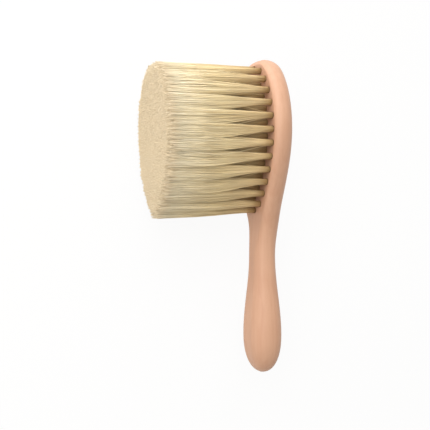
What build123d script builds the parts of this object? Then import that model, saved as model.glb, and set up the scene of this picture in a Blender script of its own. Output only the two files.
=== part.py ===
"""Neck duster brush: a one-piece wooden head and handle, filled with soft bristle tufts.

The brush lies on its side. X runs along it from the tip of the head to the end of the
handle, the bristles point to -Y, and Z is the width, with the lower edge of the head at zero.
A "station" is a distance along the brush, measured from the tip of the head.
"""

import os
from math import cos, pi

from build123d import *

os.makedirs("parts", exist_ok=True)

# Wooden body: stations, widths across Z and thicknesses along Y, in millimetres
overall_length = 190.0
head_station = 42.0  # widest point of the head
neck_station = 118.0  # slimmest point, between the head and the handle
grip_station = 167.0  # fullest point of the handle
head_width = 56.0
neck_width = 17.2
grip_width = 25.6
head_thickness = 13.4
neck_thickness = 14.0
grip_thickness = 20.4
handle_drop = 5.2  # centre of the handle below the tuft face
nose_rounding = 5.5  # length over which the tip of the head rounds off in thickness
face_crown = 0.3  # sanded off to leave the flat tuft face
throat_length = 6.0  # from the last hole to the shallow dip where the handle begins
face_roundness = 0.68  # edge radii as shares of half the thickness
back_roundness = 1.2
grip_roundness = 0.94

# Bristle field: the outer row of holes is an egg that follows the head's outline
edge_margin = 5.5  # hole centre to the side of the head
tip_margin = 5.9  # hole centre to the tip of the head
field_length = 84.6
field_nose_radius = 16.0
field_end_radius = 6.5
row_spacing = 7.2  # from one row of holes to the next one inwards
tuft_spacing = 7.8  # from one hole to the next along a row
hole_diameter = 4.0
hole_depth = 9.0

# Tufts: a bundle of filaments folded over a flat anchor and wedged in the hole
bristle_length = 66.0  # tuft face to trimmed tips
bundle_clearance = 0.25  # between the bundle and the wall of its hole
tip_gather_along = 0.96  # tips stand closer together than roots, by these shares
tip_gather_across = 1.0
tuft_gap = 0.3  # between neighbouring tufts at their tips
anchor_height = 2.2
anchor_thickness = 0.45
anchor_clearance = 0.05  # anchor to the wall of the hole and to the bundle
fold_thickness = 1.2  # filaments that pass under the anchor

# Places that follow from the sizes above
mid_z = head_width / 2
field_start = tip_margin
field_end = tip_margin + field_length
field_edge = field_end + hole_diameter / 2
throat_station = field_edge + throat_length
back_reach = max(head_thickness, handle_drop + grip_thickness / 2)
face_y = (bristle_length - back_reach) / 2
bundle_radius = hole_diameter / 2 - bundle_clearance
tip_radius = (row_spacing * tip_gather_across - tuft_gap) / 2


def x_at(station):
    """X of a station: the origin is half-way along the brush."""
    return station - overall_length / 2


tuft_face = Plane(origin=(0, face_y, mid_z), x_dir=(1, 0, 0), z_dir=(0, -1, 0))

# ---------------------------------------------------------------- wooden body


def ease(start, end, share):
    """A value that leaves one level and reaches the next without a corner."""
    share = min(max(share, 0), 1)
    return start + (end - start) * (1 - cos(pi * share)) / 2


def round_off(distance, length, power=2.0):
    """Share of the full size at a distance from a rounded end."""
    if distance >= length:
        return 1.0
    return (1 - ((length - distance) / length) ** power) ** (1 / power)


end_rounding = overall_length - grip_station
end_bluntness = 2.2


def half_width(station):
    if station < head_station:
        return head_width / 2 * round_off(station, head_station)
    if station < neck_station:
        share = (station - head_station) / (neck_station - head_station)
        return ease(head_width, neck_width, share) / 2
    share = (station - neck_station) / (grip_station - neck_station)
    end = round_off(overall_length - station, end_rounding, end_bluntness)
    return ease(neck_width, grip_width, share) / 2 * end


def front_level(station):
    """Height of the bristle side over the tuft plane, before the ends are rounded off."""
    if station < throat_station:
        share = (station - field_edge) / (throat_station - field_edge)
        return ease(face_crown, -face_crown, share)
    if station < neck_station:
        share = (station - throat_station) / (neck_station - throat_station)
        return ease(-face_crown, neck_thickness / 2 - handle_drop, share)
    share = (station - neck_station) / (grip_station - neck_station)
    return ease(neck_thickness, grip_thickness, share) / 2 - handle_drop


def back_level(station):
    """Height of the back under the tuft plane, before the ends are rounded off."""
    if station < neck_station:
        share = (station - throat_station) / (neck_station - throat_station)
        return ease(head_thickness, neck_thickness / 2 + handle_drop, share)
    share = (station - neck_station) / (grip_station - neck_station)
    return ease(neck_thickness, grip_thickness, share) / 2 + handle_drop


def half_thickness(station):
    nose = round_off(station, nose_rounding)
    end = round_off(overall_length - station, end_rounding, end_bluntness)
    return (front_level(station) + back_level(station)) / 2 * nose * end


def centre_drop(station):
    """Depth of the section's centre below the tuft plane."""
    return (back_level(station) - front_level(station)) / 2


def section(station):
    """Cross-section: a rectangle with rounded edges, rounder along the back than along the face."""
    wide, deep = half_width(station), half_thickness(station)
    share = (station - throat_station) / (neck_station - throat_station)
    face_edge = deep * ease(face_roundness, grip_roundness, share)
    back_edge = deep * ease(back_roundness, grip_roundness, share)
    plane = Plane(
        origin=(x_at(station), face_y + centre_drop(station), mid_z),
        x_dir=(0, 0, 1),
        z_dir=(1, 0, 0),
    )
    with BuildSketch(plane) as outline:
        Rectangle(2 * wide, 2 * deep)
        fillet(outline.vertices().group_by(Axis.Y)[-1], face_edge)
        fillet(outline.vertices().group_by(Axis.Y)[0], back_edge)
    return outline.sketch


def end_point(station):
    return Vertex(x_at(station), face_y + centre_drop(station), mid_z)


def spread(start, end, count):
    """Stations from just after start up to end, evenly spaced."""
    return [start + (end - start) * (i + 1) / count for i in range(count)]


# the sections stand closest together where the ends round off
nose_stations = [nose_rounding * share for share in (0.04, 0.15, 0.35, 0.65, 1.0)]
end_stations = [overall_length - end_rounding * share for share in (0.7, 0.42, 0.2, 0.07, 0.015)]
stations = (
    nose_stations
    + spread(nose_rounding, head_station, 4)
    + spread(head_station, throat_station, 6)
    + spread(throat_station, neck_station, 3)
    + spread(neck_station, grip_station, 6)
    + end_stations
)

# ---------------------------------------------------------------- places of the tufts


def side_radius(reach, end_radius):
    """Radius of the arc that leaves the widest point level and meets a round end smoothly."""
    span = reach - end_radius
    return (span**2 + field_half_width**2 - end_radius**2) / (2 * (field_half_width - end_radius))


def meeting_point(centre_x, radius):
    """Where a round end meets its side arc: both centres and this point are in line."""
    away = Vector(centre_x - widest_x, radius - field_half_width)
    return Vector(widest_x, field_half_width - radius) + away.normalized() * radius


field_half_width = head_width / 2 - edge_margin
first_x, last_x, widest_x = x_at(field_start), x_at(field_end), x_at(head_station)
nose_side_radius = side_radius(widest_x - first_x, field_nose_radius)
handle_side_radius = side_radius(last_x - widest_x, field_end_radius)
nose_meeting = meeting_point(first_x + field_nose_radius, nose_side_radius)
handle_meeting = meeting_point(last_x - field_end_radius, handle_side_radius)

with BuildSketch() as outer_egg:
    with BuildLine():
        ThreePointArc((nose_meeting.X, -nose_meeting.Y), (first_x, 0), nose_meeting)
        sides = [
            TangentArc((widest_x, field_half_width), nose_meeting, tangent=(-1, 0)),
            TangentArc((widest_x, field_half_width), handle_meeting, tangent=(1, 0)),
        ]
        ThreePointArc(handle_meeting, (last_x, 0), (handle_meeting.X, -handle_meeting.Y))
        mirror(sides, about=Plane.XZ)
    make_face()


def field_row(inset):
    """Hole centres of one row, on one half of the egg, from the tip of the head to the handle."""
    if inset == 0:
        egg = outer_egg.sketch
    else:
        egg = offset(outer_egg.sketch, amount=-inset, mode=Mode.PRIVATE)
    half = split(egg, bisect_by=Plane.XZ, keep=Keep.BOTTOM, mode=Mode.PRIVATE)
    axis = half.edges().filter_by(GeomType.LINE)
    if field_half_width - inset < row_spacing / 2:
        route = Wire(axis)
    else:
        route = Wire(half.edges() - axis)
    steps = max(round(route.length / tuft_spacing), 1)
    places = [route.position_at(i / steps) for i in range(steps + 1)]
    return sorted(places, key=lambda place: place.X)


row_names = ["outer", "second", "third", "fourth", "fifth", "sixth"]
rows = {}
for index, name in enumerate(row_names):
    if field_half_width > index * row_spacing:
        rows[name] = field_row(index * row_spacing)


def both_sides(point):
    """A hole on the centre line stands alone, any other has a twin across it."""
    if abs(point.Y) < 0.001:
        return [(point.X, 0)]
    return [(point.X, point.Y), (point.X, -point.Y)]


hole_places = {
    name: [place for point in points for place in both_sides(point)] for name, points in rows.items()
}

body_sections = [end_point(0), *[section(s) for s in stations], end_point(overall_length)]

with BuildPart() as wooden_body:
    loft(body_sections)
    with BuildSketch(tuft_face):
        with Locations((x_at(throat_station / 2), 0)):
            Rectangle(throat_station, head_width)
    extrude(amount=head_thickness, mode=Mode.SUBTRACT, clean=False)
    with BuildSketch(tuft_face):
        with Locations(*[place for places in hole_places.values() for place in places]):
            Circle(hole_diameter / 2)
    extrude(amount=-hole_depth, mode=Mode.SUBTRACT, clean=False)
wooden_body.part.label = "wooden_body"
export_step(wooden_body.part, "parts/wooden_body.step")

# ---------------------------------------------------------------- tufts

field_centre = x_at((field_start + field_end) / 2)
anchor_bottom = tuft_face.offset(fold_thickness - hole_depth)
slot_thickness = anchor_thickness + 2 * anchor_clearance
slot_height = anchor_height + 2 * anchor_clearance


def tip_place(place):
    """Where the tip of a tuft stands, gathered towards the middle of the field."""
    along = field_centre + (place[0] - field_centre) * tip_gather_along
    return (along, place[1] * tip_gather_across)


def make_tuft(name, point):
    with BuildPart() as tuft:
        for place in both_sides(point):
            with BuildSketch(tuft_face.offset(-hole_depth)):
                with Locations(place):
                    Circle(bundle_radius)
            with BuildSketch(tuft_face):
                with Locations(place):
                    Circle(bundle_radius)
            with BuildSketch(tuft_face.offset(bristle_length)):
                with Locations(tip_place(place)):
                    Circle(tip_radius)
            loft(ruled=True, clean=False)
        with BuildSketch(anchor_bottom.offset(-anchor_clearance)):
            with Locations(*both_sides(point)):
                Rectangle(hole_diameter, slot_thickness)
        extrude(amount=slot_height, mode=Mode.SUBTRACT, clean=False)
    tuft.part.label = name
    export_step(tuft.part, f"parts/{name}.step")


for row, points in rows.items():
    for number, point in enumerate(points, start=1):
        make_tuft(f"{row}_tuft_{number:02d}", point)

# ---------------------------------------------------------------- anchors

for row, places in hole_places.items():
    with BuildPart() as anchors:
        with BuildSketch(anchor_bottom):
            with Locations(*places):
                Rectangle(hole_diameter - 2 * anchor_clearance, anchor_thickness)
        extrude(amount=anchor_height)
    anchors.part.label = f"{row}_tuft_anchors"
    export_step(anchors.part, f"parts/{row}_tuft_anchors.step")
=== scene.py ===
"""Neck duster brush: wood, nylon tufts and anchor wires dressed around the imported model."""

import math

import bpy
import numpy as np
from mathutils import Matrix, Vector


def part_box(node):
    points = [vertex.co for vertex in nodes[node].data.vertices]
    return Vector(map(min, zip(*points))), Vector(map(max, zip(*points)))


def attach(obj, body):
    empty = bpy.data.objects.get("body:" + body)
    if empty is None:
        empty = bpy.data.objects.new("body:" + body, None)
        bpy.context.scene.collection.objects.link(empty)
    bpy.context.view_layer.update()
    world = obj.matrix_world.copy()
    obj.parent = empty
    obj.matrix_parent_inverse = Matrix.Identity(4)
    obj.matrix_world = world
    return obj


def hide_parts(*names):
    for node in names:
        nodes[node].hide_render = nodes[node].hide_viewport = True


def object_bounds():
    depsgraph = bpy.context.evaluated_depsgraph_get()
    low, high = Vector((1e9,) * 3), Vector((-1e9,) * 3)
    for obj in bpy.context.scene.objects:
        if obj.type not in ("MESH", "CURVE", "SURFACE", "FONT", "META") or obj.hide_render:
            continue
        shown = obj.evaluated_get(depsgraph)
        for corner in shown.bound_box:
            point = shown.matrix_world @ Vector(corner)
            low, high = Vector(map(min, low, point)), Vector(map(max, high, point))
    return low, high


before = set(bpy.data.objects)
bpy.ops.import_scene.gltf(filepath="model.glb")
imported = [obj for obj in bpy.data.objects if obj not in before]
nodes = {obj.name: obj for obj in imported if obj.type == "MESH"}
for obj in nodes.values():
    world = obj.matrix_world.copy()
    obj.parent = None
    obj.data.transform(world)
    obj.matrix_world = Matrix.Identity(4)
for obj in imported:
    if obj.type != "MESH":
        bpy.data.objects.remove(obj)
model_box = [list(corner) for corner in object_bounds()]
bpy.ops.object.select_all(action="DESELECT")

MM = 0.001
rng = np.random.default_rng(41)

# ---------------------------------------------------------------- materials


def tone(hex_code):
    """sRGB hex colour as linear RGBA."""
    values = [int(hex_code[i : i + 2], 16) / 255 for i in (1, 3, 5)]
    return [v / 12.92 if v <= 0.04045 else ((v + 0.055) / 1.055) ** 2.4 for v in values] + [1.0]


def new_material(name):
    material = bpy.data.materials.new(name)
    material.use_nodes = True
    material.node_tree.nodes.clear()
    return material


def add_node(material, kind, settings=None, inputs=None):
    """Adds a node: settings are its properties, inputs are values or (node, output) links."""
    node = material.node_tree.nodes.new(kind)
    for key, value in (settings or {}).items():
        setattr(node, key, value)
    for key, value in (inputs or {}).items():
        if isinstance(value, tuple) and isinstance(value[0], bpy.types.Node):
            material.node_tree.links.new(value[0].outputs[value[1]], node.inputs[key])
        else:
            node.inputs[key].default_value = value
    return node


def add_ramp(material, factor, stops):
    """A colour ramp with (position, hex colour) stops."""
    ramp = add_node(material, "ShaderNodeValToRGB", inputs={"Fac": factor})
    elements = ramp.color_ramp.elements
    while len(elements) < len(stops):
        elements.new(0.5)
    for element, (position, colour) in zip(elements, stops):
        element.position = position
        element.color = tone(colour)
    return ramp


def sanded_beech():
    """Pale beech, sanded fine and lacquered satin: faint long grain and short darker flecks."""
    m = new_material("sanded_beech")
    place = add_node(m, "ShaderNodeTexCoord")
    grain_length, grain_width = 60 * MM, 2.4 * MM
    grain_space = add_node(
        m,
        "ShaderNodeMapping",
        inputs={
            "Vector": (place, "Object"),
            "Scale": (1 / grain_length, 1 / grain_width, 1 / grain_width),
            "Rotation": (0.35, 0.02, 0.0),
        },
    )
    grain = add_node(
        m,
        "ShaderNodeTexNoise",
        inputs={"Vector": (grain_space, "Vector"), "Scale": 1.0, "Detail": 5.0, "Distortion": 0.4},
    )
    # the medullary flecks are 2 mm long and 0.35 mm wide, about the size they have in beech
    fleck_space = add_node(
        m,
        "ShaderNodeMapping",
        inputs={"Vector": (place, "Object"), "Scale": (1 / (2 * MM), 1 / (0.35 * MM), 1 / (0.35 * MM))},
    )
    fleck = add_node(
        m,
        "ShaderNodeTexNoise",
        inputs={"Vector": (fleck_space, "Vector"), "Scale": 1.0, "Detail": 1.0},
    )
    fleck_mask = add_node(
        m,
        "ShaderNodeMapRange",
        inputs={"Value": (fleck, "Fac"), "From Min": 0.63, "From Max": 0.74, "To Max": 0.14},
    )
    cloud = add_node(
        m,
        "ShaderNodeTexNoise",
        inputs={"Vector": (place, "Object"), "Scale": 1 / (28 * MM), "Detail": 2.0},
    )
    wood = add_ramp(m, (grain, "Fac"), [(0.3, "#CE9F82"), (0.5, "#D2A588"), (0.7, "#D5A98C")])
    broad = add_ramp(m, (cloud, "Fac"), [(0.35, "#F6F2F0"), (0.65, "#FFFFFF")])
    tinted = add_node(
        m,
        "ShaderNodeMix",
        {"data_type": "RGBA", "blend_type": "MULTIPLY"},
        {0: 0.8, 6: (wood, "Color"), 7: (broad, "Color")},
    )
    flecked = add_node(
        m,
        "ShaderNodeMix",
        {"data_type": "RGBA"},
        {0: (fleck_mask, "Result"), 6: (tinted, 2), 7: tone("#B98462")},
    )
    bump = add_node(
        m,
        "ShaderNodeBump",
        inputs={"Height": (fleck, "Fac"), "Strength": 0.12, "Distance": 0.05 * MM},
    )
    sheen = add_node(
        m,
        "ShaderNodeMapRange",
        inputs={"Value": (grain, "Fac"), "To Min": 0.48, "To Max": 0.6},
    )
    surface = add_node(
        m,
        "ShaderNodeBsdfPrincipled",
        inputs={
            "Base Color": (flecked, 2),
            "Roughness": (sheen, "Result"),
            "IOR": 1.5,
            "Coat Weight": 0.12,
            "Coat Roughness": 0.35,
            "Normal": (bump, "Normal"),
        },
    )
    add_node(m, "ShaderNodeOutputMaterial", inputs={"Surface": (surface, "BSDF")})
    return m


def nylon_filament():
    """Drawn ivory nylon: smooth and half glossy; its colour has painted shade at the roots and the cut
    end and painted light paling it towards the trimmed tips.
    """
    m = new_material("ivory_nylon")
    strand = add_node(m, "ShaderNodeAttribute", {"attribute_name": "strand"})
    parts = add_node(m, "ShaderNodeSeparateColor", inputs={"Color": (strand, "Color")})
    # stops along the filament: root, neck of the tuft, body, just under the cut, cut end. The darker
    # root and neck are painted shade where the tufts crowd together, the pale body and the part just
    # under the cut are painted light for light passing through the nylon, and the slightly darker cut
    # end is painted shade
    painted_shading_along = add_ramp(
        m,
        (parts, "Green"),
        [(0.0, "#C8AA78"), (0.2, "#ECD5A8"), (0.5, "#FFEFC6"), (0.92, "#FFF5DA"), (1.0, "#F6E6C9")],
    )
    shade = add_ramp(m, (parts, "Red"), [(0.0, "#F4EFE4"), (0.5, "#FCFAF5"), (1.0, "#FFFFFF")])
    colour = add_node(
        m,
        "ShaderNodeMix",
        {"data_type": "RGBA", "blend_type": "MULTIPLY"},
        {0: 1.0, 6: (painted_shading_along, "Color"), 7: (shade, "Color")},
    )
    surface = add_node(
        m,
        "ShaderNodeBsdfPrincipled",
        inputs={"Base Color": (colour, 2), "Roughness": 0.42, "IOR": 1.53},
    )
    add_node(m, "ShaderNodeOutputMaterial", inputs={"Surface": (surface, "BSDF")})
    return m


def galvanised_wire():
    """Flat galvanised steel wire: dull grey with fine drawing lines."""
    m = new_material("galvanised_wire")
    place = add_node(m, "ShaderNodeTexCoord")
    lines = add_node(
        m,
        "ShaderNodeMapping",
        inputs={"Vector": (place, "Object"), "Scale": (1 / (4 * MM), 1 / (0.1 * MM), 1 / (0.1 * MM))},
    )
    drawn = add_node(m, "ShaderNodeTexNoise", inputs={"Vector": (lines, "Vector"), "Scale": 1.0})
    rough = add_node(
        m,
        "ShaderNodeMapRange",
        inputs={"Value": (drawn, "Fac"), "To Min": 0.35, "To Max": 0.6},
    )
    surface = add_node(
        m,
        "ShaderNodeBsdfPrincipled",
        inputs={"Base Color": tone("#B8B6AE"), "Metallic": 1.0, "Roughness": (rough, "Result")},
    )
    add_node(m, "ShaderNodeOutputMaterial", inputs={"Surface": (surface, "BSDF")})
    return m


def give(piece, material):
    piece.data.materials.clear()
    piece.data.materials.append(material)


beech, nylon, wire = sanded_beech(), nylon_filament(), galvanised_wire()

# ---------------------------------------------------------------- wooden body and anchors

for name, node in nodes.items():
    if name.endswith("anchors"):
        give(node, wire)
give(nodes["wooden_body"], beech)

# ---------------------------------------------------------------- tufts

tuft_names = sorted(name for name in nodes if "_tuft_" in name and not name.endswith("anchors"))
tuft_root_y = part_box(tuft_names[0])[1][1]
hole_depth = 9 * MM
wood_face_y = tuft_root_y - hole_depth
mid_z = (model_box[0][2] + model_box[1][2]) / 2
side_room = mid_z - 1.6 * MM  # how far from the middle plane a filament's tip may stand
spine_start, spine_end = -66 * MM, -28 * MM  # the rows of tufts run around this line

# one tuft: its filaments are drawn thicker than real ones, which are too fine to show, so that
# they overlap one another in the bundle
strands_per_tuft = 600
strand_radius = 0.13 * MM
strand_levels = (0.0, 0.14, 0.28, 0.44, 0.62, 1.0)
sink = 1.5 * MM  # how far a filament is modelled inside its hole
bundle_radius = 1.62 * MM
tip_depth, tip_width = 4.1 * MM, 4.2 * MM  # half a spread tuft, across and along its row
inner_overlap = 1.2  # the tufts inside the outer row reach a little into each other
merge = 0.66  # share of its length at which a tuft has spread out to its neighbours
comb = 1.2 * MM  # how far the filaments lean towards the handle

# how its filaments differ: each limit says how far a tuft may face an end of the field, from 0
# at its sides to 1 at its two ends, for the value before it to apply
scatter, scatter_limit = 0.8 * MM, 1.5 * MM
bow = 0.22 * MM  # sideways, half-way along
clump_count = 28
clump_area = 0.8  # share of the bundle over which the clumps stand
clump_pull = 0.15  # share of the way to its clump's middle that a filament is drawn
clump_steps = (-0.3 * MM, 0.1 * MM)  # how much shorter whole clumps are, or longer where below zero
strand_step = 0.2 * MM
tuft_lean, lean_limit = 0.4 * MM, 0.6
stray_share, stray_bow, stray_limit = 0.015, 1.9 * MM, 0.8
crossing_share, crossing_reach, crossing_limit = 0.006, 4.5 * MM, 0.1

# the rim of the field
rim_rounding = 0.5 * MM
rim_lean = 0.35
tooth_depth, tooth_pitch = 2.0 * MM, 1.9 * MM
tooth_spread = (0.2, 1.8)  # shares of that depth
tooth_power = 0.7


def model_strand():
    """One filament, 1 long: a three-sided rod cut across at each level."""
    bpy.ops.mesh.primitive_cylinder_add(vertices=3, radius=1, depth=1, location=(0, 0, 0.5))
    rod = bpy.context.object
    bpy.ops.object.transform_apply(location=True, rotation=False, scale=False)
    bpy.ops.object.mode_set(mode="EDIT")
    for level in strand_levels[1:-1]:
        bpy.ops.mesh.select_all(action="SELECT")
        bpy.ops.mesh.bisect(plane_co=(0, 0, level), plane_no=(0, 0, 1))
    bpy.ops.object.mode_set(mode="OBJECT")
    points = np.array([v.co for v in rod.data.vertices])
    faces = [list(face.vertices) for face in rod.data.polygons]
    bpy.data.objects.remove(rod)
    return points, faces


strand_points, strand_faces = model_strand()


def tuft_ends(node):
    """(root, tip) of each tuft of a node: the middle of its root disc and of its trimmed end."""
    corners = np.array([v.co for v in node.data.vertices])
    low, high = (np.array(c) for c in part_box(node.name))
    pair = high[2] - low[2] > 10 * MM
    upper = corners[:, 2] > (low[2] + high[2]) / 2
    sides = [corners[upper], corners[~upper]] if pair else [corners]
    ends = []
    for own in sides:
        tip = own[own[:, 1] < low[1] + 0.5 * MM]
        root = own[own[:, 1] > high[1] - 0.5 * MM]
        ends.append([(disc.min(axis=0) + disc.max(axis=0)) / 2 for disc in (root, tip)])
    return ends


def disc_places(count):
    """Evenly packed places on a disc of radius 1."""
    index = np.arange(count) + 0.5
    reach, turn = np.sqrt(index / count), index * math.pi * (3 - math.sqrt(5))
    return np.stack([reach * np.cos(turn), reach * np.sin(turn)], axis=1)


def spread_to_square(places):
    """Places on a disc, moved out to the square around it."""
    return places * (np.linalg.norm(places, axis=1) / np.abs(places).max(axis=1))[:, None]


def outward(place):
    """Unit direction in XZ from the spine of the field to a place."""
    spine = np.array([min(max(place[0], spine_start), spine_end), mid_z])
    away = place - spine
    distance = np.linalg.norm(away)
    return away / distance if distance > 0.1 * MM else np.array([0.0, 1.0])


def rim_trim(places, depths):
    """How much shorter a rim tuft's filaments are: a rounded edge that ends in small teeth.

    The places are measured across the row and along it, and depths holds each filament's share
    of the depth of the teeth.
    """
    edge = np.clip(places[:, 0] / tip_depth, 0, 1)
    pitch, phase = rng.uniform(tooth_pitch, 1.5 * tooth_pitch), rng.uniform(0, math.pi)
    tooth = np.abs(np.sin(math.pi * places[:, 1] / pitch + phase)) ** tooth_power
    return rim_rounding * edge**2 + tooth_depth * depths * tooth * np.clip(2 * edge, 0, 1)


def lay_strands(root, tip, starts, ends, bows, offsets, shorter, turns):
    """Points of a tuft's filaments, each from its start in the bundle to its end in the field."""
    t = strand_points[:, 2]
    spread = np.clip(t / merge, 0, 1)
    spread = spread * spread * (3 - 2 * spread)
    swell = np.sin(math.pi * t) * t**0.4
    late = t**1.8
    root_xz, tip_xz = root[[0, 2]], tip[[0, 2]]
    centres = (
        root_xz
        + (tip_xz - root_xz) * t[:, None]
        + starts[:, None]
        + (ends - starts)[:, None] * spread[:, None]
        + bows[:, None] * swell[:, None]
        + offsets[:, None] * late[:, None]
    )
    c, s = np.cos(turns), np.sin(turns)
    turned = np.stack([np.stack([c, s], axis=1), np.stack([-s, c], axis=1)], axis=1)
    across = strand_points[None, :, :2] @ turned * strand_radius
    start_y = wood_face_y + sink
    y = start_y + (tip[1] + shorter - start_y)[:, None] * t
    xz = centres + across
    return np.stack([xz[:, :, 0], y, xz[:, :, 1]], axis=2)


def make_tuft(root, tip, at_rim):
    """Points and colours of all filaments of one tuft."""
    count = strands_per_tuft
    way = outward(tip[[0, 2]])
    facing_end = abs(way[0])  # 1 at the two ends of the field, 0 along its sides
    across_and_along = np.array([way, [-way[1], way[0]]])
    disc = disc_places(count)
    offsets = np.clip(rng.normal(0, scatter, (count, 2)), -scatter_limit, scatter_limit)

    # filaments draw together in small clumps that end at slightly different lengths
    clumps = rng.uniform(-1, 1, (clump_count, 2)) * clump_area
    clump = np.argmin(((disc[:, None, :] - clumps[None]) ** 2).sum(axis=2), axis=1)
    shorter = rng.uniform(*clump_steps, clump_count)[clump]
    tooth_shares = rng.uniform(*tooth_spread, clump_count)[clump]
    shorter += rng.uniform(0, strand_step, count)

    # the round bundle spreads to a square that fills its place in the field
    starts = disc * bundle_radius @ across_and_along
    ends = spread_to_square(disc - clump_pull * (disc - clumps[clump]))
    ends = ends * (tip_depth, tip_width) @ across_and_along
    if at_rim:
        shorter += rim_trim((ends + offsets) @ across_and_along.T, tooth_shares)
        # at the two ends of the field the outermost filaments lean back to it
        lean = rim_lean * facing_end * np.clip(ends @ way, 0, None)
        ends -= lean[:, None] * way
    else:
        ends *= inner_overlap
    ends[:, 0] += comb

    bows = rng.normal(0, bow, (count, 2))
    stray = (rng.random(count) < stray_share) & (facing_end < stray_limit)
    bows[stray] += rng.normal(0, stray_bow, (stray.sum(), 2))
    # a few filaments of the middle tufts cross their neighbours
    crossing = (rng.random(count) < crossing_share) & (facing_end < crossing_limit)
    ends[crossing, 0] += rng.normal(0, crossing_reach, crossing.sum())
    # whole tufts lean a little towards one neighbour or the other
    if facing_end < lean_limit:
        ends[:, 0] += rng.normal(0, tuft_lean)
    tip_z = tip[2] - mid_z
    ends[:, 1] = np.clip(ends[:, 1], -side_room - tip_z, side_room - tip_z)

    turns = rng.uniform(0, 2 * math.pi, count)
    points = lay_strands(root, tip, starts, ends, bows, offsets, shorter, turns)
    # red is the filament's own tint, green the place along it, which sets the painted shade and light
    # of the nylon
    colours = np.ones(points.shape[:2] + (4,))
    colours[:, :, 0] = rng.random(count)[:, None]
    colours[:, :, 1] = strand_points[:, 2]
    return points.reshape(-1, 3), colours.reshape(-1, 4)


def make_bristles(node):
    """The filaments of one node's tufts, as one mesh."""
    at_rim = node.name.startswith("outer")
    points, colours = zip(*[make_tuft(root, tip, at_rim) for root, tip in tuft_ends(node)])
    points, colours = np.concatenate(points), np.concatenate(colours)
    starts = range(0, len(points), len(strand_points))
    faces = [[v + start for v in face] for start in starts for face in strand_faces]
    name = node.name.replace("_tuft_", "_bristles_")
    mesh = bpy.data.meshes.new(name)
    mesh.from_pydata(points.tolist(), [], faces)
    strand = mesh.color_attributes.new("strand", "FLOAT_COLOR", "POINT")
    strand.data.foreach_set("color", colours.ravel())
    mesh.shade_smooth()
    mesh.update()
    piece = bpy.data.objects.new(name, mesh)
    bpy.context.scene.collection.objects.link(piece)
    give(piece, nylon)
    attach(piece, "root")
    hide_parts(node.name)


for name in tuft_names:
    make_bristles(nodes[name])

# ---------------------------------------------------------------- floor, light and camera


def seen_directly(owner):
    """1 on rays of the camera, of reflections and of transmission, and 0 on those that light."""
    rays = add_node(owner, "ShaderNodeLightPath")
    seen = (rays, "Is Camera Ray")
    for kind in ("Is Glossy Ray", "Is Transmission Ray"):
        either = add_node(owner, "ShaderNodeMath", {"operation": "MAXIMUM"}, {0: seen, 1: (rays, kind)})
        seen = (either, "Value")
    return seen


floor_whiteness = 0.92  # the rest of what is seen of it is lit, and so holds the shadow


def make_floor():
    """A white table that stays white to the camera and keeps the brush's soft shadow."""
    bpy.ops.mesh.primitive_plane_add(size=6, location=(0, 0, 0))
    floor = bpy.context.object
    floor.name = "floor"
    m = new_material("white_table")
    surface = add_node(
        m, "ShaderNodeBsdfPrincipled", inputs={"Base Color": tone("#F4F4F4"), "Roughness": 0.9}
    )
    glow = add_node(m, "ShaderNodeEmission", inputs={"Color": (1, 1, 1, 1), "Strength": 1.0})
    share = add_node(
        m, "ShaderNodeMath", {"operation": "MULTIPLY"}, {0: seen_directly(m), 1: floor_whiteness}
    )
    mixed = add_node(
        m,
        "ShaderNodeMixShader",
        inputs={0: (share, "Value"), 1: (surface, "BSDF"), 2: (glow, "Emission")},
    )
    add_node(m, "ShaderNodeOutputMaterial", inputs={"Surface": (mixed, "Shader")})
    give(floor, m)


def make_lamp(name, place, aim, size, power):
    """A square lamp at a place, turned to its aim."""
    data = bpy.data.lights.new(name, "AREA")
    data.shape = "SQUARE"
    data.size = size
    data.energy = power
    lamp = bpy.data.objects.new(name, data)
    lamp.location = place
    lamp.rotation_euler = (Vector(aim) - Vector(place)).to_track_quat("-Z", "Y").to_euler()
    bpy.context.scene.collection.objects.link(lamp)


def make_world(strength):
    """Even, slightly warm light, and a pure white ground for what the camera sees of it."""
    world = bpy.data.worlds.new("studio")
    world.use_nodes = True
    background = world.node_tree.nodes["Background"]
    seen = seen_directly(world)
    colour = add_node(
        world,
        "ShaderNodeMix",
        {"data_type": "RGBA"},
        {0: seen, 6: tone("#FFF7EA"), 7: tone("#FFFFFF")},
    )
    world.node_tree.links.new(colour.outputs[2], background.inputs["Color"])
    power = add_node(
        world,
        "ShaderNodeMapRange",
        inputs={"Value": seen, "To Min": strength, "To Max": 1.0},
    )
    world.node_tree.links.new(power.outputs["Result"], background.inputs["Strength"])
    bpy.context.scene.world = world


def make_camera(place, aim, roll, lens):
    """A camera whose picture has +X pointing down, rolled a little about its line of sight."""
    data = bpy.data.cameras.new("camera")
    data.lens = lens
    data.sensor_width = 36
    camera = bpy.data.objects.new("camera", data)
    back = (Vector(place) - Vector(aim)).normalized()
    right = Vector((-1, 0, 0)).cross(back).normalized()
    up = back.cross(right)
    turn = Matrix((right, up, back)).transposed() @ Matrix.Rotation(roll, 3, "Z")
    camera.matrix_world = Matrix.Translation(place) @ turn.to_4x4()
    bpy.context.scene.collection.objects.link(camera)
    bpy.context.scene.camera = camera


make_floor()
middle = Vector((-0.03, 0.0, 0.028))
make_lamp("key", place=(-0.84, -0.2, 0.36), aim=middle, size=1.0, power=8.8)
make_lamp("fill", place=(-0.22, -0.5, 0.69), aim=middle, size=0.8, power=4.2)
make_world(strength=0.45)
make_camera(
    place=(-0.0233, -0.1887, 0.4269), aim=(-0.0016, 0.0038, 0.0175), roll=math.radians(-0.31), lens=62.4
)
bpy.context.scene.view_settings.view_transform = "Standard"
